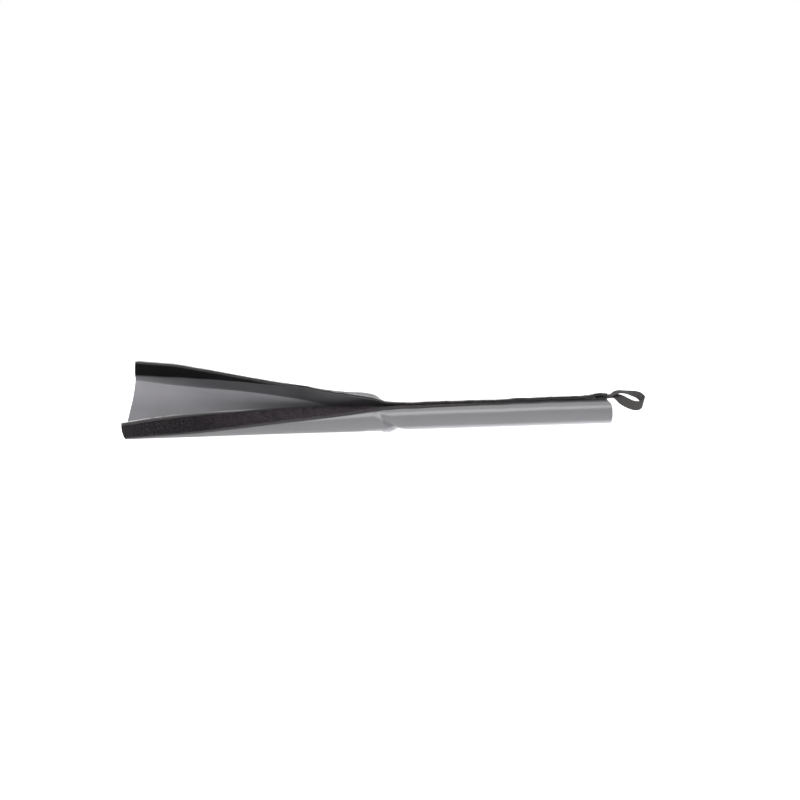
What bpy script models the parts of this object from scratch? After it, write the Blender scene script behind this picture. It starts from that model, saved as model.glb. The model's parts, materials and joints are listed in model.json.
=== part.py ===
"""Wrap-round protector sleeve of coated fabric, shown with one half closed and one half opened.

One sheet is rolled so that its far edge laps over its near edge, where two hook-and-loop tapes
meet. Metres, +Z up, +X along the sleeve towards the closed end, -Y the side of the near edge.
The sheet rests on z = 0 and its length is centred on x = 0.
"""

import math

import bmesh
import bpy
import numpy as np
from mathutils import Matrix, Vector

# Driving dimensions, in metres
LENGTH = 0.55  # sleeve, end to end
SHEET = 0.001  # coated fabric
TAPE_WIDTH = 0.0215  # hook tape and loop tape, selvedges included
TAPE = 0.0016  # thickness of either tape
LAP = 0.0165  # how far the closed edges overlap
EDGE_MARGIN = 0.001  # sheet showing past the loop tape, before the fold under it
TUBE_HEIGHT = 0.0242  # fold under the loop tape, above the floor, on the closed half
GAP = 0.0003  # between pieces that touch
FOLD_GAP = 0.0009  # slit along each flap's fold line
FLAP_LENGTH = 0.172  # how much of the opened half swings as a flap
FLAP_END_GAP = 0.003  # between a swinging flap and the fixed part beside it
OPENED_LENGTH = 0.295  # from the opened end to the point where the edges cross
SETTLE_LENGTH = 0.022  # past the crossing, over which the tube takes its final place
OPEN_FOLD_HEIGHT = 0.0012  # loop tape's fold line above the floor, at the opened end
OPEN_FOLD_Y = -0.0158  # and how far to the near side it lies
CROSS_FOLD_Y = -0.0192  # the same line at the crossing
CLOSED_FOLD_Y = -0.0165  # and along the closed tube
FAR_FOLD_Y = 0.0125  # far flap's fold line at the opened end
FAR_FOLD_HEIGHT = 0.0048
FAR_FOLD_END_Y = 0.0050  # and where the flap ends
FAR_FOLD_END_HEIGHT = 0.0023
THREAD_RADIUS = 0.0003
SEAM_INSET = 0.002  # seam row in from the tape's edge
WEBBING_WIDTH = 0.010
WEBBING = 0.0012
TAIL_LENGTH = 0.014  # webbing sewn between the tapes
TAIL_INSET = 0.003  # from the sheet's near edge to the webbing
TAIL_CLEARANCE = 0.0005
TACK_LENGTH = 0.002  # bar tack, along the sleeve
TACK_HEIGHT = 0.0006
TACK_FROM_END = 0.007
LOOP_REACH = 0.036  # how far the webbing loop stands out past the sleeve's end
LOOP_DROP = 0.017  # and its height, top strand to lower strand
LOOP_BEND = 0.0012  # past the sleeve's end, where the webbing bends when the loop swings

# Where the sheet's lines run
OPEN_END = -LENGTH / 2
CLOSED_END = LENGTH / 2
CROSSING = OPEN_END + OPENED_LENGTH
SETTLED = CROSSING + SETTLE_LENGTH
FLAP_END = OPEN_END + FLAP_LENGTH
STATIC_START = FLAP_END + FLAP_END_GAP

# Section of the sheet: directions in degrees, measured from +Y towards +Z along the sheet
LAP_ANGLE = 172.0
SHOULDER_ANGLE = 215.0
BEND_ANGLE = 315.0
TURN = 360.0
CORNER_ANGLE = 45.0
CORNER_SHARE = 0.53  # bottom corners' radius against the walls', on the closed tube
TAPE_STACK = SHEET + 3 * GAP + 2 * TAPE

# Stations along the opened half, as shares of OPENED_LENGTH from the opened end. Each holds the
# loop tape's direction, the direction under its fold, the hook tape's direction and two shares:
# the floor's width against the closed floor, and the far bottom corner's radius against the wall.
STATION_SHARES = (
    (0.000, 279.0, 291.0, 468.0, 0.11, 1.65),
    (0.217, 261.0, 285.0, 480.0, 0.13, 1.45),
    (0.369, 241.0, 272.0, 501.0, 0.20, 0.90),
    (0.522, 218.0, 258.0, 514.0, 0.24, 0.70),
    (0.676, 202.0, 246.0, 522.0, 0.30, 0.60),
    (0.831, 187.0, 232.0, 528.0, 0.48, 0.56),
    (1.000, LAP_ANGLE, SHOULDER_ANGLE, TURN + LAP_ANGLE, 1.00, CORNER_SHARE),
)

# Webbing loop's middle line and its width's direction. Places are shares of its reach and of
# its drop, from the point where it leaves the tapes; directions are plain vectors.
LOOP_SHARES = (
    ((0.00, 0.00, 0.00), (0.00, 1.00, -0.14)),
    ((0.12, 0.02, 0.05), (0.00, 1.00, -0.10)),
    ((0.32, 0.04, 0.14), (0.00, 1.00, 0.12)),
    ((0.58, 0.05, 0.14), (0.05, 1.00, 0.32)),
    ((0.82, 0.03, 0.06), (0.20, 1.00, 0.45)),
    ((0.96, -0.04, -0.16), (0.45, 0.90, 0.70)),
    ((1.00, -0.16, -0.46), (0.60, 0.55, 0.85)),
    ((0.88, -0.30, -0.72), (0.55, 0.20, 0.95)),
    ((0.66, -0.36, -0.66), (0.42, 0.10, 1.00)),
    ((0.44, -0.34, -0.46), (0.38, 0.12, 1.00)),
    ((0.26, -0.24, -0.30), (0.30, 0.55, 0.70)),
    ((0.13, -0.10, -0.15), (0.10, 0.98, 0.05)),
)

# Counts
TAPE_FACE_COUNT = 5  # faces across each tape, and across the sheet under it
FLOOR_FACE_COUNT = 8
WALL_FACE_COUNT = 9
FLAP_ROW_COUNT = 7
OPEN_ROW_COUNT = 7
SETTLE_ROW_COUNT = 2
CLOSED_ROW_COUNT = 4
ARC_SAMPLE_COUNT = 240
LOOP_STEP_COUNT = 3
NORMAL_STEP_SHARE = 0.001  # of the length, for measuring the sheet's slope
ACROSS_SHARES = (-0.5, 0, 0.5)  # of the webbing's width, from its middle line

SHEET_COLOUR = (0.36, 0.355, 0.37, 1.0)
TAPE_COLOUR = (0.022, 0.021, 0.021, 1.0)
THREAD_COLOUR = (0.05, 0.048, 0.047, 1.0)
WEBBING_COLOUR = (0.026, 0.025, 0.025, 1.0)

COLLECTION = "rope_protector_sleeve"


def clear_scene():
    """Empties the scene and gives the part and its cutters a collection each."""
    for obj in list(bpy.data.objects):
        bpy.data.objects.remove(obj, do_unlink=True)
    for name in (COLLECTION, "cutters"):
        bpy.context.scene.collection.children.link(bpy.data.collections.new(name))


def material(name, colour, roughness):
    """A Principled BSDF of one colour."""
    made = bpy.data.materials.new(name)
    made.use_nodes = True
    shader = made.node_tree.nodes["Principled BSDF"]
    shader.inputs["Base Color"].default_value = colour
    shader.inputs["Roughness"].default_value = roughness
    shader.inputs["Metallic"].default_value = 0.0
    made.diffuse_color = colour
    return made


def direction(degrees):
    """Unit vector in the section's plane, turned from +Y towards +Z."""
    return np.array((math.cos(math.radians(degrees)), math.sin(math.radians(degrees))))


def travel(length, start, end):
    """Displacement along a stretch of this length whose direction turns evenly."""
    if math.isclose(start, end):
        return length * direction(start)
    a, b = math.radians(start), math.radians(end)
    return length / (b - a) * np.array((math.sin(b) - math.sin(a), math.cos(a) - math.cos(b)))


def displacement(stretches):
    """Where the end of these stretches lies, seen from their start."""
    return sum((travel(*stretch) for stretch in stretches), np.zeros(2))


def near_side(fold_height, tape_angle, wall_angle):
    """Stretches from the near edge to the floor: the tape's lap, its bend, the wall, the corner."""
    drop = math.cos(math.radians(BEND_ANGLE)) - math.cos(math.radians(wall_angle))
    drop += CORNER_SHARE * (1 - math.cos(math.radians(CORNER_ANGLE)))
    radius = (fold_height - SHEET / 2) / drop
    return [
        (LAP, tape_angle, tape_angle),
        (TAPE_WIDTH - LAP + EDGE_MARGIN, tape_angle, wall_angle),
        (radius * math.radians(BEND_ANGLE - wall_angle), wall_angle, BEND_ANGLE),
        (radius * CORNER_SHARE * math.radians(CORNER_ANGLE), BEND_ANGLE, TURN),
    ]


def far_wall(radius, corner_share, tape_angle):
    """Stretches of the far corner and wall, up to the hook tape."""
    bend = TURN + CORNER_ANGLE
    return [
        (radius * corner_share * math.radians(CORNER_ANGLE), TURN, bend),
        (radius * math.radians(tape_angle - bend), bend, tape_angle),
    ]


def closed_section():
    """The closed tube's stretches. The far wall and the floor are sized so that the tapes meet."""
    near = near_side(TUBE_HEIGHT, LAP_ANGLE, SHOULDER_ANGLE)
    tape_angle = TURN + LAP_ANGLE
    tape = (TAPE_WIDTH, tape_angle, tape_angle)
    goal = displacement(near[:1]) + TAPE_STACK * direction(LAP_ANGLE - 90)
    rest = goal - displacement(near + [tape])
    unit = displacement(far_wall(1, CORNER_SHARE, tape_angle))
    radius = rest[1] / unit[1]
    floor = rest[0] - radius * unit[0]
    return near + [(floor, TURN, TURN)] + far_wall(radius, CORNER_SHARE, tape_angle) + [tape]


CLOSED = closed_section()
CLOSED_FLOOR = CLOSED[4][0]
SHEET_WIDTH = sum(stretch[0] for stretch in CLOSED)


def smooth_table(share, column):
    """A column of STATION_SHARES at a share of the opened length, as a smooth curve."""
    xs = [row[0] for row in STATION_SHARES]
    ys = [row[column] for row in STATION_SHARES]
    share = min(max(share, xs[0]), xs[-1])
    k = min(max(i for i, x in enumerate(xs) if x <= share), len(xs) - 2)

    def slope(i):
        a, b = max(i - 1, 0), min(i + 1, len(xs) - 1)
        return (ys[b] - ys[a]) / (xs[b] - xs[a])

    span = xs[k + 1] - xs[k]
    s = (share - xs[k]) / span
    return (
        ys[k] * (1 + 2 * s) * (1 - s) ** 2
        + ys[k + 1] * s * s * (3 - 2 * s)
        + span * (slope(k) * s * (1 - s) ** 2 - slope(k + 1) * s * s * (1 - s))
    )


def fold_line(x):
    """(y, z) of the fold under the loop tape: straight on the opened half."""
    share = min(max((x - OPEN_END) / OPENED_LENGTH, 0), 1)
    y = OPEN_FOLD_Y + (CROSS_FOLD_Y - OPEN_FOLD_Y) * share
    z = OPEN_FOLD_HEIGHT + (TUBE_HEIGHT - OPEN_FOLD_HEIGHT) * share
    settle = min(max((x - CROSSING) / SETTLE_LENGTH, 0), 1)
    y += (CLOSED_FOLD_Y - CROSS_FOLD_Y) * settle * settle * (3 - 2 * settle)
    return np.array((y, z))


def section(x):
    """(start point, stretches) of the sheet's middle line at this place along the sleeve."""
    share = (x - OPEN_END) / OPENED_LENGTH
    if share >= 1:
        stretches = CLOSED
    else:
        tape_angle, wall_angle, far_angle, floor_share, corner_share = (
            smooth_table(share, column) for column in range(1, 6)
        )
        near = near_side(fold_line(x)[1], tape_angle, wall_angle)
        floor = CLOSED_FLOOR * floor_share
        left = SHEET_WIDTH - sum(s[0] for s in near) - floor - TAPE_WIDTH
        unit = sum(s[0] for s in far_wall(1, corner_share, far_angle))
        stretches = near + [(floor, TURN, TURN)] + far_wall(left / unit, corner_share, far_angle)
        stretches.append((TAPE_WIDTH, far_angle, far_angle))
    return fold_line(x) - displacement(stretches[:2]), stretches


def middle(x, t):
    """Point of the sheet's middle surface, t along the section from the near edge."""
    at, stretches = section(x)
    for length, start, end in stretches:
        if t <= length:
            break
        at = at + travel(length, start, end)
        t -= length
    else:
        length, start = 0, end
    turned = start + (end - start) * t / length if length else end
    at = at + travel(t, start, turned)
    return np.array((x, at[0], at[1]))


def beside(x, t, offset):
    """Point at this distance from the middle surface, on its outer side."""
    step = NORMAL_STEP_SHARE * LENGTH
    x0, x1 = max(x - step, OPEN_END), min(x + step, CLOSED_END)
    t0, t1 = max(t - step, 0), min(t + step, SHEET_WIDTH)
    along = middle(x1, t) - middle(x0, t)
    across = middle(x, t1) - middle(x, t0)
    normal = np.cross(across, along)
    return middle(x, t) + offset * normal / np.linalg.norm(normal)


NEAR_FOLD = TAPE_WIDTH + EDGE_MARGIN


def far_fold(x):
    """Distance along the section of the point nearest the far flap's straight fold line."""
    share = (min(x, FLAP_END) - OPEN_END) / FLAP_LENGTH
    target = np.array((
        FAR_FOLD_Y + (FAR_FOLD_END_Y - FAR_FOLD_Y) * share,
        FAR_FOLD_HEIGHT + (FAR_FOLD_END_HEIGHT - FAR_FOLD_HEIGHT) * share,
    ))
    stretches = section(x)[1]
    floor_start = sum(s[0] for s in stretches[:4])
    spots = np.linspace(floor_start, SHEET_WIDTH - TAPE_WIDTH, ARC_SAMPLE_COUNT)
    away = [np.linalg.norm(middle(x, t)[1:] - target) for t in spots]
    return spots[int(np.argmin(away))]


def link(obj, finish):
    """Puts an object in the part's collection and gives it its material."""
    bpy.data.collections[COLLECTION].objects.link(obj)
    if finish:
        obj.data.materials.append(finish)
    return obj


def thick_grid(name, rows, thickness, finish, keep=None):
    """A mesh of rows of points, loft-like, thickened both ways. keep(row, column) drops faces."""
    mesh = bpy.data.meshes.new(name)
    bm = bmesh.new()
    grid = [[bm.verts.new(point) for point in row] for row in rows]
    for i in range(len(rows) - 1):
        for j in range(len(rows[0]) - 1):
            if keep is None or keep(i, j):
                corners = (grid[i][j], grid[i][j + 1], grid[i + 1][j + 1], grid[i + 1][j])
                bm.faces.new(corners)
    loose = [vert for vert in bm.verts if not vert.link_faces]
    bmesh.ops.delete(bm, geom=loose, context="VERTS")
    bm.to_mesh(mesh)
    bm.free()
    mesh.shade_smooth()
    obj = link(bpy.data.objects.new(name, mesh), finish)
    shell = obj.modifiers.new("thickness", "SOLIDIFY")
    shell.thickness = thickness
    shell.offset = 0
    shell.use_even_offset = True
    return obj


def hang_on(point, names):
    """Puts these pieces' origins at a point of the axis that they turn on."""
    shift = Vector(point)
    for name in names:
        obj = bpy.data.objects[name]
        obj.data.transform(Matrix.Translation(-shift))
        obj.location = shift


def spread(start, end, count):
    """Evenly spaced values from start to end, both included."""
    return [start + (end - start) * i / count for i in range(count + 1)]


def static_rows():
    """Places of the fixed part's sections, close together where the tube closes."""
    rows = spread(STATIC_START, CROSSING, OPEN_ROW_COUNT)
    rows += spread(CROSSING, SETTLED, SETTLE_ROW_COUNT)[1:]
    return rows + spread(SETTLED, CLOSED_END, CLOSED_ROW_COUNT)[1:]


def make_sheet(finish):
    """The sheet: the closed tube with the opened half's floor, and the two flaps."""
    near = TAPE_FACE_COUNT + 1
    far_tape = SHEET_WIDTH - TAPE_WIDTH
    slit = FOLD_GAP / 2

    def near_stops(last):
        return spread(0, TAPE_WIDTH, TAPE_FACE_COUNT) + [last]

    def far_stops(first):
        return spread(first, far_tape, WALL_FACE_COUNT) + spread(far_tape, SHEET_WIDTH, TAPE_FACE_COUNT)[1:]

    def ring(x):
        fold = far_fold(x)
        floor = spread(NEAR_FOLD + slit, fold - slit, FLOOR_FACE_COUNT)
        return [middle(x, t) for t in near_stops(floor[0]) + floor[1:-1] + far_stops(floor[-1])]

    rows = spread(OPEN_END, STATIC_START, FLAP_ROW_COUNT) + static_rows()[1:]
    thick_grid(
        "sleeve_shell",
        [ring(x) for x in rows],
        SHEET,
        finish,
        keep=lambda i, j: i >= FLAP_ROW_COUNT or near <= j < near + FLOOR_FACE_COUNT,
    )
    rows = spread(OPEN_END, FLAP_END, FLAP_ROW_COUNT)
    panel = [[middle(x, t) for t in near_stops(NEAR_FOLD - slit)] for x in rows]
    thick_grid("near_flap_panel", panel, SHEET, finish)
    panel = [[middle(x, t) for t in far_stops(far_fold(x) + slit)] for x in rows]
    thick_grid("far_flap_panel", panel, SHEET, finish)


def make_tapes(finish):
    """Loop tape outside the near edge and hook tape inside the far edge, each cut at the flap."""
    reach = SHEET / 2 + GAP + TAPE / 2
    flap_rows = spread(OPEN_END, FLAP_END, FLAP_ROW_COUNT)
    made = {}
    for name, start, side in (
        ("loop_tape", 0, reach),
        ("hook_tape", SHEET_WIDTH - TAPE_WIDTH, -reach),
    ):
        stops = spread(start, start + TAPE_WIDTH, TAPE_FACE_COUNT)
        for end, rows in (("flap", flap_rows), ("closed", static_rows())):
            grid = [[beside(x, t, side) for t in stops] for x in rows]
            made[name, end] = thick_grid(f"{name}_{end}", grid, TAPE, finish)
    return made


def thread(name, points, finish):
    """A thin cord through these points."""
    curve = bpy.data.curves.new(name, "CURVE")
    curve.dimensions = "3D"
    curve.bevel_depth = THREAD_RADIUS
    curve.bevel_resolution = 0
    curve.use_fill_caps = True
    spline = curve.splines.new("POLY")
    spline.points.add(len(points) - 1)
    for spot, point in zip(spline.points, points):
        spot.co = (*point, 1)
    return link(bpy.data.objects.new(name, curve), finish)


def make_seams(finish):
    """Two rows of thread to each tape, on the faces that the closed tapes leave free."""
    on_tape = SHEET / 2 + 2 * GAP + TAPE + THREAD_RADIUS
    on_sheet = SHEET / 2 + GAP + THREAD_RADIUS
    far_start = SHEET_WIDTH - TAPE_WIDTH
    for name, t, flap_side, closed_side in (
        ("loop_tape_edge_seam", SEAM_INSET, on_tape, -on_sheet),
        ("loop_tape_fold_seam", TAPE_WIDTH - SEAM_INSET, on_tape, on_tape),
        ("hook_tape_fold_seam", far_start + SEAM_INSET, on_sheet, on_sheet),
        ("hook_tape_edge_seam", SHEET_WIDTH - SEAM_INSET, on_sheet, on_sheet),
    ):
        rows = spread(OPEN_END + SEAM_INSET, FLAP_END - SEAM_INSET, 2 * FLAP_ROW_COUNT)
        thread(f"{name}_flap", [beside(x, t, flap_side) for x in rows], finish)
        stops = static_rows()
        rows = [stops[0] + SEAM_INSET] + stops[1:-1] + [stops[-1] - SEAM_INSET]
        thread(f"{name}_closed", [beside(x, t, closed_side) for x in rows], finish)


def oriented_box(name, centre, size, tilt, finish=None):
    """A box with its faces turned about X by tilt degrees."""
    mesh = bpy.data.meshes.new(name)
    bm = bmesh.new()
    bmesh.ops.create_cube(bm, size=1)
    bmesh.ops.scale(bm, vec=size, verts=bm.verts)
    bm.to_mesh(mesh)
    bm.free()
    obj = bpy.data.objects.new(name, mesh)
    if finish:
        link(obj, finish)
    else:
        bpy.data.collections["cutters"].objects.link(obj)
        obj.hide_render = True
        obj.display_type = "WIRE"
    obj.matrix_world = Matrix.Translation(Vector(centre)) @ Matrix.Rotation(
        math.radians(tilt), 4, "X"
    )
    return obj


def make_tether(tapes, webbing_finish, thread_finish):
    """Webbing loop at the closed end: its tail between the tapes, the loop, and the bar tack."""
    tilt = LAP_ANGLE - 180
    level = SHEET / 2 + GAP + TAPE / 2
    tail_t = TAIL_INSET + WEBBING_WIDTH / 2
    tail_x = CLOSED_END - TAIL_LENGTH / 2
    centre = beside(tail_x, tail_t, level)
    oriented_box("tether_tail", centre, (TAIL_LENGTH, WEBBING_WIDTH, WEBBING), tilt, webbing_finish)

    room = 2 * TAIL_CLEARANCE
    notch = oriented_box(
        "tail_notch",
        centre,
        (TAIL_LENGTH + room, WEBBING_WIDTH + room + TAIL_INSET, 2 * TAPE),
        tilt,
    )
    notch.location = Vector(beside(tail_x, tail_t - TAIL_INSET / 2, level))
    cut = tapes["loop_tape", "closed"].modifiers.new("tail notch", "BOOLEAN")
    cut.operation = "DIFFERENCE"
    cut.object = notch

    top = SHEET / 2 + GAP + TACK_HEIGHT / 2
    tack_at = beside(CLOSED_END - TACK_FROM_END, SHEET_WIDTH - (LAP - tail_t), top)
    tack_size = (TACK_LENGTH, WEBBING_WIDTH, TACK_HEIGHT)
    oriented_box("tether_bar_tack", tack_at, tack_size, tilt, thread_finish)

    root = Vector(beside(CLOSED_END, tail_t, level)) + Vector((GAP, 0, 0))
    keys = []
    for place, side in LOOP_SHARES:
        shift = Vector((place[0] * LOOP_REACH, place[1] * LOOP_REACH, place[2] * LOOP_DROP))
        keys.append((root + shift, Vector(side).normalized()))
    ribbon(keys, webbing_finish)
    hang_on(root + Vector((LOOP_BEND - GAP, 0, 0)), ["tether_loop"])


def between(keys, k, s):
    """Smooth place and width direction, a share s past key k, by a Catmull-Rom curve."""
    spots = [keys[min(max(i, 0), len(keys) - 1)] for i in range(k - 1, k + 3)]

    def blend(a, b, c, d):
        bend = 2 * a - 5 * b + 4 * c - d
        twist = 3 * b - a - 3 * c + d
        return (2 * b + (c - a) * s + bend * s * s + twist * s**3) / 2

    place = blend(*(spot[0] for spot in spots))
    side = blend(*(spot[1] for spot in spots))
    return place, side.normalized()


def ribbon(keys, finish):
    """The webbing loop: a flat strip that follows the keys."""
    rows = []
    for k in range(len(keys) - 1):
        for step in range(LOOP_STEP_COUNT):
            rows.append(between(keys, k, step / LOOP_STEP_COUNT))
    rows.append(keys[-1])
    grid = [
        [place + side * WEBBING_WIDTH * share for share in ACROSS_SHARES] for place, side in rows
    ]
    return thick_grid("tether_loop", grid, WEBBING, finish)


def main():
    """Makes every piece of the sleeve."""
    clear_scene()
    sheet_finish = material("coated_fabric", SHEET_COLOUR, 0.5)
    tape_finish = material("tape_pile", TAPE_COLOUR, 0.9)
    thread_finish = material("thread", THREAD_COLOUR, 0.7)
    webbing_finish = material("webbing", WEBBING_COLOUR, 0.8)
    make_sheet(sheet_finish)
    tapes = make_tapes(tape_finish)
    make_seams(thread_finish)
    make_tether(tapes, webbing_finish, thread_finish)
    near_axis = (OPEN_END, OPEN_FOLD_Y, OPEN_FOLD_HEIGHT)
    far_axis = (OPEN_END, FAR_FOLD_Y, FAR_FOLD_HEIGHT)
    hang_on(near_axis, ["near_flap_panel", "loop_tape_flap"])
    hang_on(near_axis, ["loop_tape_edge_seam_flap", "loop_tape_fold_seam_flap"])
    hang_on(far_axis, ["far_flap_panel", "hook_tape_flap"])
    hang_on(far_axis, ["hook_tape_edge_seam_flap", "hook_tape_fold_seam_flap"])
    bpy.context.view_layer.update()
    print("flat sheet", round(SHEET_WIDTH, 5), "by", LENGTH)


main()
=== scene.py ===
"""Dressed model of a wrap-round protector sleeve that lies partly opened on a pale floor.

One sheet of coated fabric is rolled so that its far edge laps over its near edge. A loop tape on
the near edge and a hook tape on the far edge hold it shut along one half. The other half is
opened. Metres, +Z up, +X towards the closed end, -Y towards the viewer.
"""

import json
import logging
import math
from collections.abc import Callable
from dataclasses import astuple, dataclass, field
from enum import Enum

import bmesh
import bpy
import numpy as np
from mathutils import Matrix, Vector, noise


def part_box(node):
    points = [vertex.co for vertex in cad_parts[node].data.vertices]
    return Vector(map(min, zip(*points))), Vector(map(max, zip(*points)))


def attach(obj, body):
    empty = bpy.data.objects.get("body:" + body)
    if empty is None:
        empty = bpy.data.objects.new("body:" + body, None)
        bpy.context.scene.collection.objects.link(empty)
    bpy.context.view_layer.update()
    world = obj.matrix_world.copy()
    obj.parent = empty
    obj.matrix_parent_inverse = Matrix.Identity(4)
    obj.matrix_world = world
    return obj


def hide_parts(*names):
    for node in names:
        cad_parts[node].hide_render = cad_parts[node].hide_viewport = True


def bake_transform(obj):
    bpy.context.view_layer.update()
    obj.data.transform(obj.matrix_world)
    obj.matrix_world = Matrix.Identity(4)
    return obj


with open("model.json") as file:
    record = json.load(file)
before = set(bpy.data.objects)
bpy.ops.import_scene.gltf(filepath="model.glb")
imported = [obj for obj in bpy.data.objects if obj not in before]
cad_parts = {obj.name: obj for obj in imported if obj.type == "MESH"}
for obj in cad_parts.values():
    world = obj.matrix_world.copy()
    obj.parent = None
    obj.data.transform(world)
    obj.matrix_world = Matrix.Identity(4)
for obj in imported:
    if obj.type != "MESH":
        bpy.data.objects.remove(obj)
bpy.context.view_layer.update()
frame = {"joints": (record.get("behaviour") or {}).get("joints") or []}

log = logging.getLogger("sleeve")

MM = 0.001

Places = np.ndarray | float
Span = tuple[float, float]
Colour = tuple[float, float, float]
Point = tuple[float, float, float]
Stretch = tuple[float, float, float]  # its length, and its directions at start and end in degrees
Ramp = tuple[float, float, float, float]  # two values, and what they are turned into
Piece = bpy.types.Object
Socket = bpy.types.NodeSocket


class Body(Enum):
    """Bodies of the frame; the bar tack rides on the sleeve's."""

    SLEEVE = "sleeve"
    NEAR_FLAP = "near_flap"
    FAR_FLAP = "far_flap"
    TETHER = "tether"


class Side(Enum):
    """The two sides of the sheet."""

    OUTER = 1
    INNER = -1


def joint(name: str) -> dict:
    """The frame's entry for a joint."""
    return next(entry for entry in frame["joints"] if entry["name"] == name)


def smooth_step(value: Places, low: float, high: float) -> Places:
    """Rises smoothly from 0 at low to 1 at high."""
    share = np.clip((value - low) / (high - low), 0, 1)
    return share * share * (3 - 2 * share)


def hump(value: Places, centre: float, width: float) -> Places:
    """A smooth hill of height 1 that falls to about a third at one width from its centre."""
    return np.exp(-(((value - centre) / width) ** 2))


def wander(first: np.ndarray, second: Places = 0, third: float = 0) -> np.ndarray:
    """Smooth noise between -1 and 1, read at the points that the coordinates give."""
    points = zip(*np.broadcast_arrays(first, second, third))
    return np.array([noise.noise(Vector(point)) for point in points])


@dataclass(frozen=True)
class Station:
    """The sheet's section at one place along the opened half. Directions are in degrees."""

    share: float  # of the opened length, from the opened end
    tape: float  # direction of the near tape
    wall: float  # direction under its fold
    hook: float  # direction of the far tape
    floor_share: float  # floor's width against the closed floor
    corner_share: float  # far bottom corner's radius against the wall's
    lean: float  # how much flatter the far wall lies than an even curve
    fold_y: float  # how far the fold lies off its straight line, in millimetres
    fold_z: float


@dataclass(frozen=True)
class Buckle:
    """A local rise or dent of the sheet: a smooth hill in its flat pattern. In millimetres."""

    along: float  # place along the sleeve
    across: float  # place across the flat sheet
    before: float  # its reach towards the opened end
    after: float  # its reach towards the closed end
    width: float
    rise: float  # outwards, or inwards if it is negative
    slant: float = 0  # how far the hill leans along the sleeve for each unit across

    def height(self, along: np.ndarray, across: np.ndarray) -> np.ndarray:
        """The hill's height at places on the flat sheet.

        Args:
            along: places along the sleeve, in metres.
            across: places across the flat sheet, in metres.

        Returns:
            Heights on the outer side, in metres.
        """
        off = along - self.along * MM - self.slant * (across - self.across * MM)
        reach = np.where(off < 0, self.before, self.after) * MM
        ridge = self.rise * MM * np.exp(-((off / reach) ** 2))
        return ridge * hump(across, self.across * MM, self.width * MM)


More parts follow.
